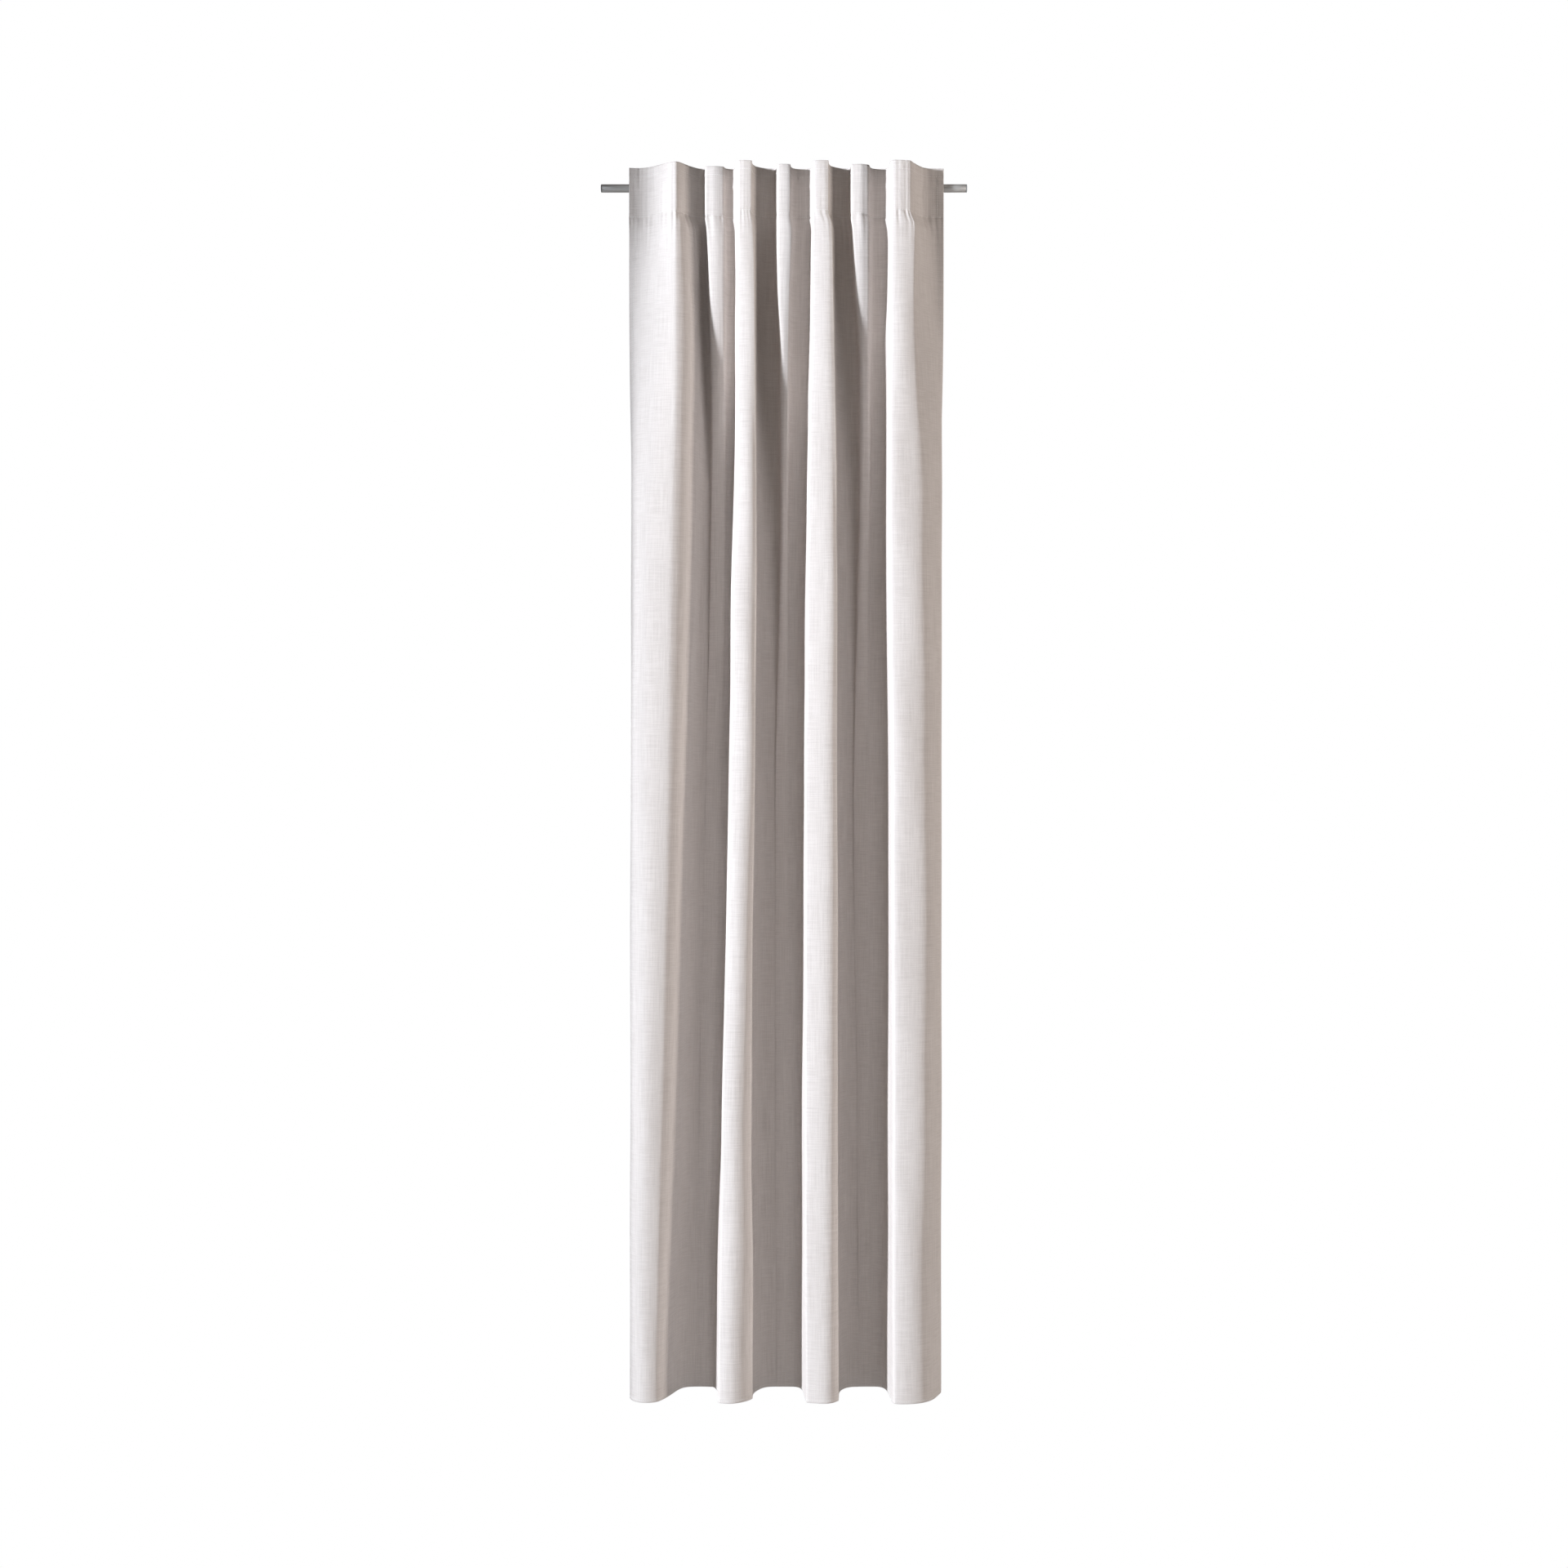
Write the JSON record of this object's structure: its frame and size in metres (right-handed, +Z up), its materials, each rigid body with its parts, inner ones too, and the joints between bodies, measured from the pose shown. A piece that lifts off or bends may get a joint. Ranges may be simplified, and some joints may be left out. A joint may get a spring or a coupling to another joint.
{
  "type": "curtain panel",
  "caption": "Full-length room curtain of cream linen-look cloth, hung in soft folds by hidden tabs on a short plain steel rod.",
  "frame": {"origin": "the middle of the rod's axis", "axes": "+X along the rod, to the right as seen from the room; -Y into the room; +Z up, so the cloth hangs to negative Z"},
  "size_m": [0.731, 0.1439, 2.45],
  "materials": {
    "curtain_cloth": "matte",
    "tape_webbing": "matte",
    "sewing_thread": "matte",
    "satin_steel": "satin",
    "end_plug": "satin"
  },
  "bodies": {
    "rod": {"rod_tube": "satin_steel", "rod_plug_left": "end_plug", "rod_plug_right": "end_plug"},
    "panel": {"curtain_fabric": "curtain_cloth", "top_hem": "curtain_cloth", "bottom_hem": "curtain_cloth", "side_hem_left": "curtain_cloth", "side_hem_right": "curtain_cloth", "heading_tape": "tape_webbing", "heading_seam_upper": "sewing_thread", "heading_seam_lower": "sewing_thread", "bottom_seam": "sewing_thread", "side_seam_left": "sewing_thread", "side_seam_right": "sewing_thread"},
    "tab_1": {"tab_strap_1": "tape_webbing", "bar_tack_upper_1": "sewing_thread", "bar_tack_lower_1": "sewing_thread"},
    "tab_2": {"tab_strap_2": "tape_webbing", "bar_tack_upper_2": "sewing_thread", "bar_tack_lower_2": "sewing_thread"},
    "tab_3": {"tab_strap_3": "tape_webbing", "bar_tack_upper_3": "sewing_thread", "bar_tack_lower_3": "sewing_thread"},
    "tab_4": {"tab_strap_4": "tape_webbing", "bar_tack_upper_4": "sewing_thread", "bar_tack_lower_4": "sewing_thread"},
    "tab_5": {"tab_strap_5": "tape_webbing", "bar_tack_upper_5": "sewing_thread", "bar_tack_lower_5": "sewing_thread"},
    "tab_6": {"tab_strap_6": "tape_webbing", "bar_tack_upper_6": "sewing_thread", "bar_tack_lower_6": "sewing_thread"},
    "tab_7": {"tab_strap_7": "tape_webbing", "bar_tack_upper_7": "sewing_thread", "bar_tack_lower_7": "sewing_thread"},
    "tab_8": {"tab_strap_8": "tape_webbing", "bar_tack_upper_8": "sewing_thread", "bar_tack_lower_8": "sewing_thread"}
  },
  "joints": [
    {"name": "panel_slide", "type": "slide", "parent": "rod", "child": "tab_1", "axis": [1, 0, 0], "range_m": [-0.055, 0.045]},
    {"name": "panel_swing", "type": "hinge", "parent": "tab_1", "child": "panel", "pos_m": [0, 0, 0], "axis": [1, 0, 0], "range_deg": [-10, 10]},
    {"name": "draw", "type": "slide", "parent": "panel", "child": "tab_8", "axis": [1, 0, 0], "range_m": [-0.286, 0], "deforming": ["curtain_fabric", "top_hem", "bottom_hem", "side_hem_left", "side_hem_right", "heading_tape", "heading_seam_upper", "heading_seam_lower", "bottom_seam", "side_seam_left", "side_seam_right"]},
    {"name": "tab_2_slide", "type": "slide", "parent": "panel", "child": "tab_2", "axis": [1, 0, 0], "range_m": [-0.0535, 0]},
    {"name": "tab_3_slide", "type": "slide", "parent": "panel", "child": "tab_3", "axis": [1, 0, 0], "range_m": [-0.085, 0]},
    {"name": "tab_4_slide", "type": "slide", "parent": "panel", "child": "tab_4", "axis": [1, 0, 0], "range_m": [-0.1225, 0]},
    {"name": "tab_5_slide", "type": "slide", "parent": "panel", "child": "tab_5", "axis": [1, 0, 0], "range_m": [-0.1605, 0]},
    {"name": "tab_6_slide", "type": "slide", "parent": "panel", "child": "tab_6", "axis": [1, 0, 0], "range_m": [-0.198, 0]},
    {"name": "tab_7_slide", "type": "slide", "parent": "panel", "child": "tab_7", "axis": [1, 0, 0], "range_m": [-0.2385, 0]}
  ],
  "couplings": [
    {"joint": "tab_2_slide", "follows": "draw", "ratio": 0.18532},
    {"joint": "tab_3_slide", "follows": "draw", "ratio": 0.29546},
    {"joint": "tab_4_slide", "follows": "draw", "ratio": 0.42657},
    {"joint": "tab_5_slide", "follows": "draw", "ratio": 0.55944},
    {"joint": "tab_6_slide", "follows": "draw", "ratio": 0.69056},
    {"joint": "tab_7_slide", "follows": "draw", "ratio": 0.83217}
  ]
}
